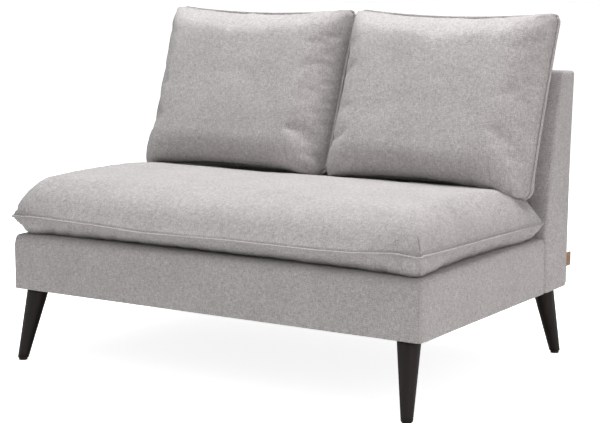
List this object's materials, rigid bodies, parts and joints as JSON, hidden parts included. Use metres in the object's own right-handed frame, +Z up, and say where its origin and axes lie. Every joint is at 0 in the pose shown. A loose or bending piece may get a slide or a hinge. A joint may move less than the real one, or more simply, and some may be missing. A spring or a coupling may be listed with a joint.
{
  "type": "armless sofa",
  "caption": "Armless upholstered sofa with a boxed base, a leaning padded back, loose seat and back cushions, and splayed tapering wooden legs.",
  "frame": {"origin": "on the floor, under the middle of the overall outline", "axes": "+Z up, +X towards the sitter's left-hand end as seen from behind (right end in the front view), front of the seat towards -Y"},
  "size_m": [1.2, 0.863, 0.9059],
  "materials": {
    "upholstery": "light grey mixed-yarn linen-look weave",
    "stained_wood": "dark stained, satin",
    "glide_plastic": "moulded",
    "zinc_steel": "zinc plated",
    "fibreboard": "hard fibreboard",
    "webbing": "woven elastic webbing",
    "foam": "open-cell foam",
    "wadding": "needled wadding",
    "dust_cloth": "non-woven cloth",
    "zip_tape": "woven tape with moulded teeth",
    "zip_metal": "enamelled",
    "tag_ribbon": "woven ribbon, bare",
    "frame_timber": "planed pine"
  },
  "bodies": {
    "base": {"back_centre_stile": "frame_timber", "back_cover": "upholstery", "back_foam": "foam", "back_lower_rail": "frame_timber", "back_top_rail": "frame_timber", "back_wadding": "wadding", "back_webbing": "webbing", "base_cover": "upholstery", "base_wadding": "wadding", "centre_brace": "frame_timber", "corner_blocks": "frame_timber", "deck_foam": "foam", "dust_cover": "dust_cloth", "front_left_leg": "stained_wood", "front_rail": "frame_timber", "front_right_leg": "stained_wood", "hanger_bolts": "zinc_steel", "lap_bolts": "zinc_steel", "left_back_post": "frame_timber", "left_side_rail": "frame_timber", "leg_glides": "glide_plastic", "leg_plates": "zinc_steel", "outer_board": "fibreboard", "rear_left_leg": "stained_wood", "rear_rail": "frame_timber", "rear_right_leg": "stained_wood", "right_back_post": "frame_timber", "right_side_rail": "frame_timber", "seat_felt": "wadding", "seat_webbing": "webbing", "side_tag": "tag_ribbon", "webbing_rail": "frame_timber"},
    "seat_cushion": {"seat_cushion_cover": "upholstery", "seat_cushion_filling": "foam", "seat_cushion_zip": "zip_tape"},
    "left_back_cushion": {"left_back_cushion_cover": "upholstery", "left_back_cushion_filling": "foam", "left_back_cushion_welt": "upholstery", "left_back_cushion_zip": "zip_tape"},
    "right_back_cushion": {"right_back_cushion_cover": "upholstery", "right_back_cushion_filling": "foam", "right_back_cushion_welt": "upholstery", "right_back_cushion_zip": "zip_tape"},
    "seat_zip": {"seat_zip_slider": "zip_metal"},
    "left_zip": {"left_zip_slider": "zip_metal"},
    "right_zip": {"right_zip_slider": "zip_metal"}
  },
  "joints": [
    {"name": "seat_cushion_lift", "type": "slide", "parent": "base", "child": "seat_cushion", "axis": [0, 0, 1], "range_m": [0, 0.45]},
    {"name": "left_back_cushion_lift", "type": "slide", "parent": "seat_cushion", "child": "left_back_cushion", "axis": [0, 0, 1], "range_m": [0, 0.33]},
    {"name": "right_back_cushion_lift", "type": "slide", "parent": "seat_cushion", "child": "right_back_cushion", "axis": [0, 0, 1], "range_m": [0, 0.33]},
    {"name": "seat_zip_run", "type": "slide", "parent": "seat_cushion", "child": "seat_zip", "axis": [1, 0, 0], "range_m": [0, 1.069]},
    {"name": "left_zip_run", "type": "slide", "parent": "left_back_cushion", "child": "left_zip", "axis": [1, 0, 0], "range_m": [0, 0.451]},
    {"name": "right_zip_run", "type": "slide", "parent": "right_back_cushion", "child": "right_zip", "axis": [1, 0, 0], "range_m": [0, 0.451]}
  ]
}
